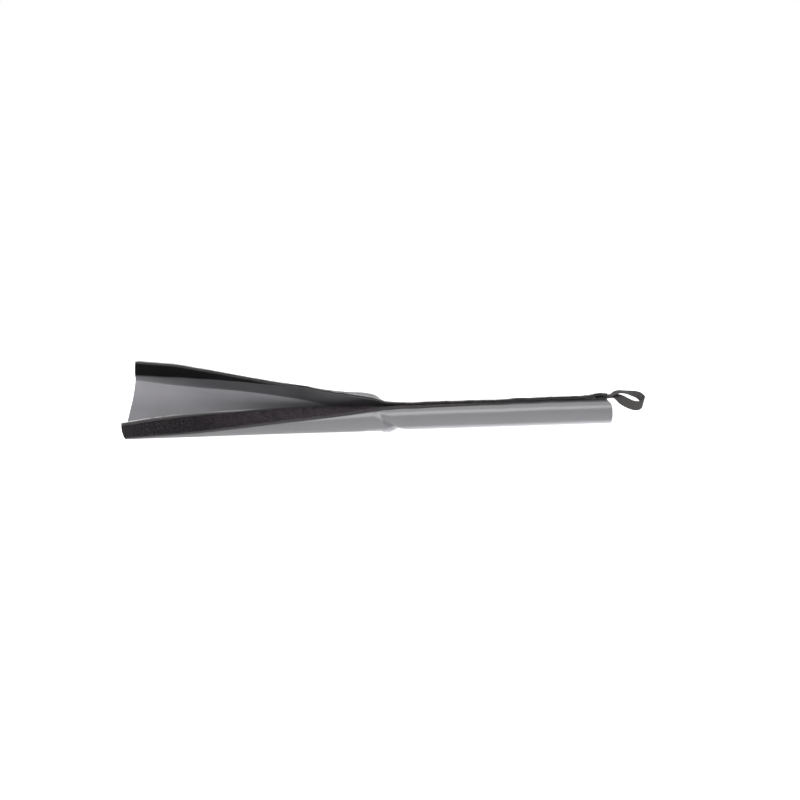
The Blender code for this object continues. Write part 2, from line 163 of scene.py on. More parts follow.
@dataclass
class SheetForm:
    """The sheet's flat pattern and how it lies: every piece sewn to it asks it for its place."""

    thickness: float = 1.0 * MM
    tape_width: float = 21.5 * MM
    tape_height: float = 1.6 * MM
    lap: float = 16.5 * MM
    edge_margin: float = 1.0 * MM
    gap: float = 0.3 * MM
    opened_length: float = 295 * MM
    settle_length: float = 22 * MM
    closed_fold_y: float = -16.5 * MM
    lap_angle: float = 172
    shoulder_angle: float = 215
    bend_angle: float = 315
    corner_angle: float = 45
    corner_share: float = 0.53
    wall_share: float = 0.72

    # Spans along the sleeve that end in _run are measured from the crossing.
    shut_run: Span = (-20 * MM, 15 * MM)
    opened_run: Span = (-60 * MM, 20 * MM)
    open_stretch: float = 9.1 * MM
    near_trim: float = 8.5 * MM
    near_trim_width: float = 60 * MM
    end_trim: float = 3.2 * MM
    end_trim_length: float = 25 * MM
    end_trim_width: float = 11 * MM
    far_corner: float = 0.35
    far_corner_edge: float = 5 * MM
    near_drift: float = 3.3 * MM
    drift_run: Span = (-50 * MM, 10 * MM)
    drift_end: float = 30 * MM
    tuck: float = 0.5 * MM
    tuck_inset: float = 0.5 * MM
    tuck_width: float = 5 * MM
    press: float = 0.55 * MM
    press_inset: float = 2 * MM
    press_width: float = 3.5 * MM
    lap_lift: float = 0.5 * MM
    lap_edge: float = 9 * MM
    late_lift: float = 1.6
    late_span: Span = (120 * MM, 210 * MM)
    back_sag: float = 2.2 * MM
    back_run: Span = (-10 * MM, 25 * MM)
    back_span: Span = (-13 * MM, 10 * MM)
    ripple: float = 0.22 * MM
    ripple_start: Span = (1, 8)  # millimetres above the floor
    ripple_lengths: tuple[float, ...] = (9.7, 13, 23.1, 17, 5.3, 11)  # in millimetres
    least_advance: float = 0.5  # the least square of how far a slanting line gets for its length
    row_count: int = 441
    column_count: int = 169
    stations: tuple[Station, ...] = (
        Station(0.00, 295.5, 288.1, 476.1, 0.20, 1.17, -22.6, 1.0, -0.5),
        Station(0.14, 273.8, 280.9, 482.4, 0.32, 1.16, -20.2, 0.1, -2.0),
        Station(0.28, 250.0, 272.7, 496.5, 0.40, 1.02, -16.6, -0.8, -3.1),
        Station(0.42, 229.2, 262.4, 509.1, 0.38, 0.70, -11.8, -1.2, -3.0),
        Station(0.56, 216.5, 251.6, 518.5, 0.40, 0.49, -12.0, -1.1, -2.4),
        Station(0.70, 205.2, 241.1, 523.0, 0.49, 0.36, -7.3, -0.9, -2.1),
        Station(0.85, 192.4, 229.4, 528.5, 0.69, 0.35, -0.9, -0.5, -1.4),
        Station(1.00, 172.0, 215.0, 532.0, 1.00, 0.53, 0.0, 0.0, 0.0),
    )
    buckles: tuple[Buckle, ...] = (
        Buckle(5, 113, 38, 11, 9, 6.2),
        Buckle(9, 140, 42, 20, 13, 4.4),
        Buckle(17, 125, 16, 18, 6, 0.9),
        Buckle(20, -2, 16, 20, 9, -1.2),
        Buckle(-38, 88, 12, 9, 15, -0.9, 0.7),
        Buckle(-15, 92, 8, 10, 13, 0.8, 0.6),
        Buckle(24, 98, 7, 8, 11, -0.9, -0.5),
        Buckle(19.0, 38, 3.5, 2.5, 14, 1.5),
        Buckle(27.5, 42, 3.2, 4.2, 14, -3.6, 0.8),
        Buckle(25, 54, 5, 3, 7, 2.2),
        Buckle(38, 57, 4, 5, 9, -1.9),
        Buckle(6, 36, 5, 3.5, 12, -0.7, -0.3),
        Buckle(265, 133, 15, 14, 14, 3.0),
        Buckle(255, 28, 120, 60, 12, 1.3),
    )
    places: np.ndarray = field(init=False)
    normals: np.ndarray = field(init=False)

    def __post_init__(self) -> None:
        """Reads the sleeve's ends and the near fold line from the frame, and lays the sheet."""
        low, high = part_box("sleeve_shell")
        self.open_end, self.closed_end = low.x, high.x
        self.length = self.closed_end - self.open_end
        self.crossing = self.open_end + self.opened_length
        fold = joint("near_flap_fold")
        self.fold_start = np.array(fold["pos_m"])
        self.fold_way = np.array(fold["axis"]) / fold["axis"][0]
        self.tube_height = self.fold_line(self.crossing)[1]
        self.closed = self.closed_section()
        self.width = sum(stretch[0] for stretch in self.closed)
        self.lay()

    def past_crossing(self, x: Places, run: Span) -> Places:
        """Rises from 0 to 1 over a run that is measured from the crossing."""
        return smooth_step(x, self.crossing + run[0], self.crossing + run[1])

    def shut(self, x: np.ndarray) -> np.ndarray:
        """0 on the opened half and 1 where the tapes hold each other."""
        return self.past_crossing(x, self.shut_run)

    def opened(self, x: np.ndarray) -> np.ndarray:
        """1 on the opened half and 0 on the closed half."""
        return 1 - self.past_crossing(x, self.opened_run)

    def drift(self, x: np.ndarray) -> np.ndarray:
        """How far the near tape strays towards the near edge, at places along the sleeve."""
        start = self.near_drift / 3 * self.past_crossing(x, self.drift_run)
        return start + self.near_drift * smooth_step(x, self.crossing, self.closed_end - self.drift_end)

    def lap_rise(self, along: np.ndarray, across: np.ndarray) -> np.ndarray:
        """How far the lap's free edge stands up, more so towards the closed end.

        Args:
            along: places along the sleeve.
            across: places across the flat sheet.

        Returns:
            Heights on the outer side.
        """
        late = 1 + self.late_lift * smooth_step(along, *self.late_span)
        edge = smooth_step(across, self.width - self.lap_edge, self.width)
        return self.lap_lift * late * edge * self.shut(along)

    def fold_line(self, x: float) -> np.ndarray:
        """Finds the fold under the near tape.

        Args:
            x: place along the sleeve.

        Returns:
            Its y and z.
        """
        run = min(x, self.crossing) - self.open_end
        place = (self.fold_start + self.fold_way * run)[1:]
        place[0] += (self.closed_fold_y - place[0]) * self.past_crossing(x, (0, self.settle_length))
        return place

    @staticmethod
    def heading(degrees: float) -> np.ndarray:
        """Unit vector in the section's plane, turned from +Y towards +Z."""
        return np.array((math.cos(math.radians(degrees)), math.sin(math.radians(degrees))))

    @staticmethod
    def travel(length: Places, start: float, end: Places) -> np.ndarray:
        """Follows a stretch whose direction turns evenly.

        Args:
            length: how far along it.
            start: direction at its start, in degrees.
            end: direction reached there, in degrees.

        Returns:
            Displacements, one row for each length.
        """
        least_turn = 0.001
        a, b = math.radians(start), np.radians(np.atleast_1d(end).astype(float))
        length = np.atleast_1d(length)
        turn = np.where(np.abs(b - a) < least_turn, least_turn, b - a)
        across = np.where(b == a, math.cos(a), (np.sin(a + turn) - math.sin(a)) / turn)
        up = np.where(b == a, math.sin(a), (math.cos(a) - np.cos(a + turn)) / turn)
        return np.stack((length * across, length * up), axis=1)

    def displacement(self, stretches: list[Stretch]) -> np.ndarray:
        """Where the end of these stretches lies, seen from their start."""
        return sum((self.travel(*stretch)[0] for stretch in stretches), np.zeros(2))

    def near_side(self, height: float, tape: float, wall: float) -> list[Stretch]:
        """The lap, the bend, the wall and the corner, from the near edge to the floor.

        Args:
            height: the fold's height over the floor.
            tape: direction of the near tape.
            wall: direction under the fold.

        Returns:
            Their stretches.
        """
        drop = math.cos(math.radians(self.bend_angle)) - math.cos(math.radians(wall))
        drop += self.corner_share * (1 - math.cos(math.radians(self.corner_angle)))
        radius = (height - self.thickness / 2) / drop
        corner = radius * self.corner_share * math.radians(self.corner_angle)
        return [
            (self.lap, tape, tape),
            (self.tape_width - self.lap + self.edge_margin, tape, wall),
            (radius * math.radians(self.bend_angle - wall), wall, self.bend_angle),
            (corner, self.bend_angle, 360),
        ]

    def far_wall(self, radius: float, corner_share: float, hook: float, lean: float = 0) -> list[Stretch]:
        """The far corner and the wall's two parts, up to the hook tape.

        Args:
            radius: the wall's radius.
            corner_share: the corner's radius against it.
            hook: direction of the far tape.
            lean: how much the wall's lower part turns beyond an even curve.

        Returns:
            Their stretches.
        """
        bend = 360 + self.corner_angle
        total = radius * math.radians(hook - bend)
        turned = bend + self.wall_share * (hook - bend) + lean
        return [
            (radius * corner_share * math.radians(self.corner_angle), 360, bend),
            (total * self.wall_share, bend, turned),
            (total * (1 - self.wall_share), turned, hook),
        ]

    def closed_section(self) -> list[Stretch]:
        """Stretches of the closed tube, sized so that the two tapes meet.

        Returns:
            All of them, from the near edge to the far edge.
        """
        near = self.near_side(self.tube_height, self.lap_angle, self.shoulder_angle)
        hook = 360 + self.lap_angle
        tape = (self.tape_width, hook, hook)
        stack = self.thickness + 3 * self.gap + 2 * self.tape_height
        goal = self.displacement(near[:1]) + stack * self.heading(self.lap_angle - 90)
        rest = goal - self.displacement(near + [tape])
        unit = self.displacement(self.far_wall(1, self.corner_share, hook))
        radius = rest[1] / unit[1]
        floor = rest[0] - radius * unit[0]
        wall = self.far_wall(radius, self.corner_share, hook)
        return near + [(floor, 360, 360)] + wall + [tape]

    def station(self, share: float) -> Station:
        """Reads the stations as smooth curves.

        Args:
            share: of the opened length.

        Returns:
            The section's values there.
        """
        rows = np.array([astuple(row) for row in self.stations])
        shares = rows[:, 0]
        last = len(rows) - 1
        k = int(np.clip(np.searchsorted(shares, share, side="right") - 1, 0, last - 1))
        around = [(max(i - 1, 0), min(i + 1, last)) for i in (k, k + 1)]
        slopes = [(rows[b] - rows[a]) / (shares[b] - shares[a]) for a, b in around]
        span = shares[k + 1] - shares[k]
        s = (share - shares[k]) / span
        ends = rows[k] * (1 + 2 * s) * (1 - s) ** 2 + rows[k + 1] * s * s * (3 - 2 * s)
        return Station(*(ends + span * (slopes[0] * s * (1 - s) ** 2 - slopes[1] * s * s * (1 - s))))

    def section(self, x: float) -> tuple[np.ndarray, list[Stretch]]:
        """The sheet's section at one place.

        Args:
            x: place along the sleeve.

        Returns:
            Its start point and its stretches.
        """
        share = (x - self.open_end) / self.opened_length
        fold = self.fold_line(x)
        if share >= 1:
            stretches = self.closed
        else:
            at = self.station(share)
            fold = fold + np.array((at.fold_y, at.fold_z)) * MM
            near = self.near_side(fold[1], at.tape, at.wall)
            floor = self.closed[4][0] * at.floor_share
            left = self.width - sum(s[0] for s in near) - floor - self.tape_width
            unit = sum(s[0] for s in self.far_wall(1, at.corner_share, at.hook, at.lean))
            wall = self.far_wall(left / unit, at.corner_share, at.hook, at.lean)
            stretches = near + [(floor, 360, 360)] + wall + [(self.tape_width, at.hook, at.hook)]
        return fold - self.displacement(stretches[:2]), stretches

    def lay(self) -> None:
        """Works out the sheet's middle surface and its outward normals on a grid."""
        slack = MM * MM
        xs = np.linspace(self.open_end, self.closed_end, self.row_count)
        ts = np.linspace(0, self.width, self.column_count)
        self.places = np.zeros((self.row_count, self.column_count, 3))
        for i, x in enumerate(xs):
            at, stretches = self.section(x)
            passed = 0.0
            for length, start, end in stretches:
                inside = (ts >= passed - slack) & (ts <= passed + length + slack)
                part = ts[inside] - passed
                turned = start + (end - start) * part / length
                self.places[i, inside, 1:] = at + self.travel(part, start, turned)
                at = at + self.travel(length, start, end)[0]
                passed += length
        along, across = np.meshgrid(xs, ts, indexing="ij")
        self.places[..., 0] = self.reach(xs) + self.trim(along, across)
        self.settle_back()
        self.normals = self.outward()
        self.places += self.normals * self.rise(along, across)[..., None]
        self.normals = self.outward()

    def reach(self, xs: np.ndarray) -> np.ndarray:
        """How far each lengthwise line of the sheet gets, as the slanting ones are drawn back.

        Args:
            xs: the grid's places along the flat sheet.

        Returns:
            Places along the sleeve.
        """
        slope = np.gradient(self.places[..., 1:], xs, axis=0)
        advance = np.sqrt(np.clip(1 - (slope**2).sum(axis=2), self.least_advance, 1))
        advance[xs >= self.crossing] = 1
        steps = (advance[1:] + advance[:-1]) / 2 * np.diff(xs)[:, None]
        passed = np.concatenate((np.zeros((1, steps.shape[1])), np.cumsum(steps, axis=0)))
        return self.closed_end + passed - passed[-1]

    def trim(self, along: np.ndarray, across: np.ndarray) -> np.ndarray:
        """How the sheet's two ends depart from straight cuts.

        Args:
            along: places along the flat sheet.
            across: places across it.

        Returns:
            Shifts along the sleeve.
        """
        opened = np.clip((self.crossing - along) / self.opened_length, 0, 1)
        near = 1 - smooth_step(across, self.tape_width, self.near_trim_width)
        shift = opened * (self.near_trim * near - self.open_stretch)
        far_edge = smooth_step(across, self.width - self.tape_width, self.width - self.far_corner_edge)
        corner = 1 - smooth_step(across, self.lap, self.lap + self.end_trim_width)
        corner += self.far_corner * far_edge
        last = smooth_step(along, self.closed_end - self.end_trim_length, self.closed_end)
        return shift - self.end_trim * corner * last

    def settle_back(self) -> None:
        """Lets the closed tube's back lie a little lower than its lap."""
        x, y, z = (self.places[..., k] for k in range(3))
        sag = self.back_sag * self.past_crossing(x, self.back_run) * smooth_step(y, *self.back_span)
        z -= sag * z / self.tube_height

    def outward(self) -> np.ndarray:
        """Unit normals of the grid, on the sheet's outer side."""
        normals = np.cross(np.gradient(self.places, axis=1), np.gradient(self.places, axis=0))
        return normals / np.linalg.norm(normals, axis=2, keepdims=True)

    def rise(self, along: np.ndarray, across: np.ndarray) -> np.ndarray:
        """How far the sheet stands out of its plain form, with its buckles and soft ripples.

        Args:
            along: places along the sleeve.
            across: places across the flat sheet.

        Returns:
            Heights on the outer side.
        """
        x, y, z = (self.places[..., k] / MM for k in range(3))
        a, b, c, d, e, f = self.ripple_lengths
        soft = np.sin(x / a + z / b) * np.sin(x / c - y / d + 1) + np.sin(x / e + y / f + 2) / 2
        soft *= self.ripple * smooth_step(z, *self.ripple_start)
        tuck = self.tuck * hump(across, self.tape_width - self.tuck_inset, self.tuck_width)
        press = self.press * hump(across, self.lap - self.press_inset, self.press_width)
        lap = self.lap_rise(along, across) + (press - tuck) * self.shut(along)
        return soft + lap + sum(buckle.height(along, across) for buckle in self.buckles)

    def place(self, x: Places, t: Places, lift: Places = 0) -> np.ndarray:
        """Finds points on or beside the sheet.

        Args:
            x: places along the sleeve.
            t: places across the flat sheet, from the near edge.
            lift: distance from the middle surface, on its outer side.

        Returns:
            One point a row.
        """
        x, t = np.atleast_1d(x).astype(float), np.atleast_1d(t).astype(float)
        last_row, last_column = self.row_count - 1, self.column_count - 1
        u = np.clip((x - self.open_end) / self.length, 0, 1) * last_row
        v = np.clip(t / self.width, 0, 1) * last_column
        i = np.minimum(u.astype(int), last_row - 1)
        j = np.minimum(v.astype(int), last_column - 1)
        a, b = (u - i)[:, None], (v - j)[:, None]

        def read(grid: np.ndarray) -> np.ndarray:
            """Reads the grid between its points.

            Args:
                grid: a vector for each of its points.

            Returns:
                One vector a row.
            """
            low = grid[i, j] * (1 - b) + grid[i, j + 1] * b
            high = grid[i + 1, j] * (1 - b) + grid[i + 1, j + 1] * b
            return low * (1 - a) + high * a

        normal = read(self.normals)
        normal /= np.linalg.norm(normal, axis=1, keepdims=True)
        beyond = (t - np.clip(t, 0, self.width))[:, None]
        step = self.width / self.column_count
        edge = np.clip(t, step, self.width - step)
        k = np.minimum((edge / self.width * last_column).astype(int), last_column - 1)
        across = self.places[i, k + 1] - self.places[i, k]
        across /= np.linalg.norm(across, axis=1, keepdims=True)
        return read(self.places) + across * beyond + normal * np.reshape(lift, (-1, 1))


class Wire:
    """A value on its way through a shader's nodes: what is done with it adds nodes."""

    def __init__(self, nodes: "Nodes", socket: Socket) -> None:
        """Keeps the output that the value comes from."""
        self.nodes = nodes
        self.socket = socket

    def into(self, kind: str, output: str | int, inputs: dict, **settings: object) -> "Wire":
        """The value that one more node gives, made with these inputs and settings."""
        node = self.nodes.add(kind, inputs, **settings)
        return Wire(self.nodes, node.outputs[output])

    def math(self, operation: str, other: "Wire | float" = 0) -> "Wire":
        """Arithmetic on this value and another one."""
        return self.into("Math", "Value", {0: self, 1: other}, operation=operation)

    def __add__(self, other: "Wire | float") -> "Wire":
        """Their sum."""
        return self.math("ADD", other)

    def __sub__(self, other: "Wire | float") -> "Wire":
        """Their difference."""
        return self.math("SUBTRACT", other)

    def __mul__(self, other: "Wire | float") -> "Wire":
        """Their product."""
        return self.math("MULTIPLY", other)

    def __abs__(self) -> "Wire":
        """Its size without its sign."""
        return self.math("ABSOLUTE")

    def ramp(self, low: float, high: float, to_low: float, to_high: float) -> "Wire":
        """Turns low into to_low and high into to_high, evenly between them and held beyond."""
        return self.into("MapRange", "Result", {0: self, 1: low, 2: high, 3: to_low, 4: to_high})

    def mix(self, first: "Wire | Colour", second: "Wire | Colour") -> "Wire":
        """A colour between two others, by this share. Inputs 6 and 7 and output 2 hold colours."""
        return self.into("Mix", 2, {0: self, 6: first, 7: second}, data_type="RGBA")

    def tint(self, factor: "Wire") -> "Wire":
        """This colour times a value."""
        return self.into("VectorMath", "Vector", {0: self, "Scale": factor}, operation="SCALE")

    def part(self, name: str) -> "Wire":
        """One coordinate of this vector, X, Y or Z."""
        return self.into("SeparateXYZ", name, {"Vector": self})

    def noise(self, scale: float, detail: float = 2) -> "Wire":
        """A cloudy value from 0 to 1, with scale clouds a metre and that many finer layers."""
        return self.into("TexNoise", "Fac", {"Vector": self, "Scale": scale, "Detail": detail})

    def waves(self, pitch: float, warp: float = 0) -> "Wire":
        """Even bands across this vector's X.

        Args:
            pitch: from one band to the next, in metres.
            warp: how much they wander.

        Returns:
            A value from 0 to 1.
        """
        inputs = {"Vector": self, "Scale": math.tau / 20 / pitch, "Distortion": warp, "Detail": 1}
        bands = {"wave_type": "BANDS", "bands_direction": "X", "wave_profile": "SIN"}
        return self.into("TexWave", "Fac", inputs, **bands)

    def bump(self, depth: float, strength: float = 1, under: "Wire | None" = None) -> "Wire":
        """Roughens the surface by this relief.

        Args:
            depth: its depth in metres.
            strength: how strongly it shows.
            under: a coarser relief that it lies on.

        Returns:
            A normal.
        """
        inputs = {"Height": self, "Distance": depth, "Strength": strength}
        if under is not None:
            inputs["Normal"] = under
        return self.into("Bump", "Normal", inputs)


class Nodes:
    """A short way to write a shader's nodes."""

    def __init__(self, tree: bpy.types.NodeTree) -> None:
        """Keeps the tree that the nodes go into."""
        self.tree = tree

    def fill(self, node: bpy.types.Node, inputs: dict) -> None:
        """Sets or links some of a node's inputs.

        Args:
            node: the node.
            inputs: a value, a colour or a wire for the name or number of each input.
        """
        for name, value in inputs.items():
            target = node.inputs[name]
            if isinstance(value, Wire):
                self.tree.links.new(value.socket, target)
            elif isinstance(value, Socket):
                self.tree.links.new(value, target)
            elif target.type == "RGBA":
                target.default_value = (*value, 1)
            else:
                target.default_value = value

    def add(self, kind: str, inputs: dict | None = None, **settings: object) -> bpy.types.Node:
        """Adds a node.

        Args:
            kind: its type, without the ShaderNode in front.
            inputs: a value, a colour or a wire for the name or number of each input.
            settings: the node's own settings.

        Returns:
            The node.
        """
        node = self.tree.nodes.new("ShaderNode" + kind)
        for name, value in settings.items():
            setattr(node, name, value)
        self.fill(node, inputs or {})
        return node

    def flat(self, turn: float = 0, stretch: Span = (1, 1)) -> Wire:
        """Coordinates on the flat pattern, in metres.

        Args:
            turn: turn of the pattern, in degrees.
            stretch: factors along the turned pattern's two axes.

        Returns:
            A vector.
        """
        uv = self.add("UVMap", uv_map="flat")
        turned = self.add("Mapping", {"Vector": uv.outputs[0], "Rotation": (0, 0, math.radians(turn))})
        scaled = self.add("Mapping", {"Vector": turned.outputs[0], "Scale": (*stretch, 1)})
        return Wire(self, scaled.outputs[0])

    def solid(self) -> Wire:
        """Coordinates of the object, in metres."""
        return Wire(self, self.add("TexCoord").outputs["Object"])

    def surface(self, **values: object) -> None:
        """Sets or links the shader's own sockets, whose names have _ for a space."""
        inputs = {name.replace("_", " "): value for name, value in values.items()}
        self.fill(self.tree.nodes["Principled BSDF"], inputs)


@dataclass(frozen=True)
class Finish:
    """A finish that a surface can have."""

    def material(self, name: str) -> bpy.types.Material:
        """Makes a material of the finish.

        Args:
            name: the material's name.

        Returns:
            The material.
        """
        made = bpy.data.materials.new(name)
        made.use_nodes = True
        self.dress(Nodes(made.node_tree))
        return made

    def dress(self, nodes: Nodes) -> None:
        """Adds the finish's own nodes."""
        raise NotImplementedError


@dataclass(frozen=True)
class CoatedFabric(Finish):
    """Grey plastic-coated cloth: a smooth satin coat with the weave of its base showing faintly."""

    colour: Colour = (0.15, 0.1465, 0.159)
    pale: Colour = (0.17, 0.1665, 0.178)
    cloud_scale: float = 28
    cloud_ramp: Ramp = (0.3, 0.7, 0, 1)
    thread_colour: Colour = (0.4, 0.39, 0.41)
    thread_share: float = 0.12
    thread_pitch: float = 0.95 * MM
    weave_depth: float = 0.02 * MM
    slack_scale: float = 55
    slack_depth: float = 0.3 * MM
    slack_strength: float = 0.6
    grain_scale: float = 900
    grain_depth: float = 0.006 * MM
    roughness: float = 0.42
    dust: float = 0.08
    coat: float = 1.0
    tape_shade: float = 0.6  # painted shade: what is left of the tone right beside the near tape, on the closed half
    tape_shade_span: Span = (17.5 * MM, 24.5 * MM)
    closed_ramp: Ramp = (5 * MM, 55 * MM, 0, 1)
    bend: float = 54 * MM
    bend_core: float = 3 * MM
    bend_width: float = 12 * MM
    # painted light from the floor: the colour's factor where the sheet bends under towards the floor
    bend_light: float = 2.7
    # painted shade: the colour's factor over the near side and the front wall, rising to 1 on the back
    wall_shade: float = 0.5

    def dress(self, nodes: Nodes) -> None:
        """Adds clouds of tone, the weave, painted shading, slack in the cloth and a fine grain.

        Args:
            nodes: the material's nodes.
        """
        flat = nodes.flat()
        cloud = flat.noise(self.cloud_scale, 3)
        weave = flat.waves(self.thread_pitch) * nodes.flat(90).waves(self.thread_pitch)
        tone = cloud.ramp(*self.cloud_ramp).mix(self.colour, self.pale)
        woven_tone = (weave * self.thread_share).mix(tone, self.thread_colour)
        slack = flat.noise(self.slack_scale).bump(self.slack_depth, self.slack_strength)
        woven = weave.bump(self.weave_depth, 1, slack)
        nodes.surface(
            Base_Color=woven_tone.tint(self.painted_shading(nodes)),
            Roughness=cloud * self.dust + self.roughness,
            Normal=flat.noise(self.grain_scale).bump(self.grain_depth, 1, woven),
            IOR=1.5, Specular_IOR_Level=0.6, Coat_Weight=self.coat, Coat_Roughness=0.29, Coat_IOR=1.6,
        )

    def painted_shading(self, nodes: Nodes) -> Wire:
        """Painted light and shade: painted shade beside the near tape and over the near side and front
        wall, and painted light from the floor where the sheet bends under.

        Args:
            nodes: the material's nodes.

        Returns:
            A factor for the colour.
        """
        across = nodes.flat().part("Y")
        tape_shade = across.ramp(*self.tape_shade_span, self.tape_shade - self.wall_shade, 0)
        closed = nodes.flat().part("X").ramp(*self.closed_ramp)
        off = abs(across - self.bend)
        painted_bend_light = off.ramp(self.bend_core, self.bend_width, self.bend_light - self.wall_shade, 0)
        # back to full tone beyond the bend, out of the painted shade
        back = across.ramp(self.bend, self.bend + self.bend_width, 0, 1 - self.wall_shade)
        return tape_shade * closed + self.wall_shade + painted_bend_light + back


@dataclass(frozen=True)
class Lining(CoatedFabric):
    """The sheet's inner side: bare weave, with painted shade above a crease line below the far tape,
    painted light under it, and painted glints of its threads along it.
    """

    colour: Colour = (0.142, 0.1385, 0.149)
    pale: Colour = (0.168, 0.164, 0.175)
    weave_depth: float = 0.035 * MM
    roughness: float = 0.55
    coat: float = 0
    crease_start: float = 84.3 * MM
    crease_slope: float = -0.1025
    crease_ramp: Ramp = (-0.7 * MM, 0, 1, 0)
    fade_ramp: Ramp = (-400 * MM, -160 * MM, 0, 1)
    # painted light: in the throat the painted shade above the line turns to light
    throat_light_ramp: Ramp = (-75 * MM, -15 * MM, 1, -0.2)
    shade_above_ramp: Ramp = (-0.7 * MM, 1.4 * MM, 0, -0.62)
    light_below_ramp: Ramp = (-32 * MM, -10 * MM, 0, 0.9)
    # painted glints: highlights painted in dots along the crease line
    glint: float = 1.1
    glint_width: float = 5 * MM
    glint_pitch: float = 2.8 * MM
    glint_turn: float = 35
    glint_warp: float = 0.6
    dot_ramp: Ramp = (0.2, 0.65, -0.25, 1)
    patch_size: float = 6.5 * MM
    patch_ramp: Ramp = (0.4, 0.62, 0.25, 1.5)

    def painted_shading(self, nodes: Nodes) -> Wire:
        """Painted shade above the crease line and painted light below it, faintly swapped in the throat,
        and painted glints along it.

        Args:
            nodes: the material's nodes.

        Returns:
            A factor for the colour.
        """
        flat = nodes.flat()
        x = flat.part("X")
        off = flat.part("Y") - (x * self.crease_slope + self.crease_start)
        strength = x.ramp(*self.fade_ramp) * x.ramp(*self.throat_light_ramp)
        below = off.ramp(*self.light_below_ramp) * off.ramp(*self.crease_ramp)
        tone = (off.ramp(*self.shade_above_ramp) + below) * strength
        near = abs(off + self.glint_width / 3).ramp(0, self.glint_width, self.glint, 0)
        rising, falling = (
            nodes.flat(turn).waves(self.glint_pitch, self.glint_warp)
            for turn in (self.glint_turn, -self.glint_turn)
        )
        patches = flat.noise(1 / self.patch_size, 1).ramp(*self.patch_ramp)
        return near * ((rising * falling).ramp(*self.dot_ramp) * patches) + tone + 1


@dataclass(frozen=True)
class CutEdge(Finish):
    """The sheet's cut edge: pale yarn ends, frayed dark in places by the tapes' fuzz."""

    colour: Colour = (0.55, 0.54, 0.55)
    yarn: Colour = (0.92, 0.91, 0.9)
    fuzz: Colour = (0.04, 0.04, 0.042)
    grain_scale: float = 900
    grain_share: float = 0.35
    grain_depth: float = 0.05 * MM
    yarn_ramp: Ramp = (0.45, 0.6, 0, 1)
    patch: float = 14 * MM
    patch_ramp: Ramp = (0.68, 0.78, 0, 1)

    def dress(self, nodes: Nodes) -> None:
        """Adds the yarn ends and the patches of fuzz.

        Args:
            nodes: the material's nodes.
        """
        grain = nodes.solid().noise(self.grain_scale, 1)
        pale = grain.ramp(*self.yarn_ramp).mix(self.colour, self.yarn)
        cover = nodes.solid().noise(1 / self.patch, 1) + grain * self.grain_share
        colour = cover.ramp(*self.patch_ramp).mix(pale, self.fuzz)
        nodes.surface(Base_Color=colour, Normal=grain.bump(self.grain_depth), Roughness=0.7)


@dataclass(frozen=True)
class Pile(Finish):
    """A black tape's field of loops or hooks, whose fibres lean one way."""

    colour: Colour = (0.0036, 0.0028, 0.0033)
    # fibre: the fibres' paler tone, partly their grain and partly painted highlight on them
    fibre: Colour = (0.145, 0.124, 0.147)
    fibre_width: float = 0.36 * MM
    fibre_turn: float = -32
    fibre_stretch: float = 0.2
    fibre_ramp: Ramp = (0.57, 0.71, 0, 1)
    stray_turn: float = 44.8
    stray_share: float = 0.94
    stray_stretch: float = 1.6  # against the fibres' stretch
    stray_fineness: float = 1.1
    speck_fineness: float = 1.3
    speck_ramp: Ramp = (0.4, 0.62, 0.15, 1)
    rank_pitch: float = 2.5 * MM
    rank_warp: float = 1.2
    rank_ramp: Ramp = (0.25, 0.75, 0.45, 1.25)
    lint_and_light_ramp: Ramp = (-190 * MM, -10 * MM, 1, 4.2)  # lint where it is peeled open most often, and painted light where the tape lies in shade: paler towards the crossing and along the closed half
    throat_light_ramp: Ramp = (-110 * MM, -40 * MM, 0, 1)
    throat_fill_ramp: Ramp = (0, 15 * MM, 1.5, 0)  # painted light: paler still beside the near edge, in the throat, where the far flap shades it
    tuft_scale: float = 420
    depth: float = 0.5 * MM
    sheen: float = 0.1
    shine: float = 0.08
    roughness: float = 0.8

    def dress(self, nodes: Nodes) -> None:
        """Adds leaning fibres with strays across them, in ranks, and lint on them with painted light where
        the tape lies in shade.

        Args:
            nodes: the material's nodes.
        """
        flat = nodes.flat()
        scale = 1 / self.fibre_width
        lean = nodes.flat(self.fibre_turn, (1, self.fibre_stretch))
        cross = nodes.flat(self.stray_turn, (1, self.fibre_stretch * self.stray_stretch))
        strays = cross.noise(scale * self.stray_fineness, 1) * self.stray_share
        fibres = lean.noise(scale, 1).math("MAXIMUM", strays)
        specks = flat.noise(scale * self.speck_fineness).ramp(*self.speck_ramp)
        ranks = lean.waves(self.rank_pitch, self.rank_warp).ramp(*self.rank_ramp)
        lit = fibres.ramp(*self.fibre_ramp) * specks * ranks
        along = flat.part("X")
        throat_fill = flat.part("Y").ramp(*self.throat_fill_ramp) * along.ramp(*self.throat_light_ramp) + 1
        lint_and_light = along.ramp(*self.lint_and_light_ramp) * throat_fill
        low = flat.noise(self.tuft_scale).bump(self.depth / 2, 0.5)
        nodes.surface(
            Base_Color=lit.mix(self.colour, self.fibre).tint(lint_and_light),
            Normal=fibres.bump(self.depth / 2, 1, low),
            Roughness=self.roughness, Specular_IOR_Level=self.shine,
            Sheen_Weight=self.sheen, Sheen_Roughness=0.5,
        )


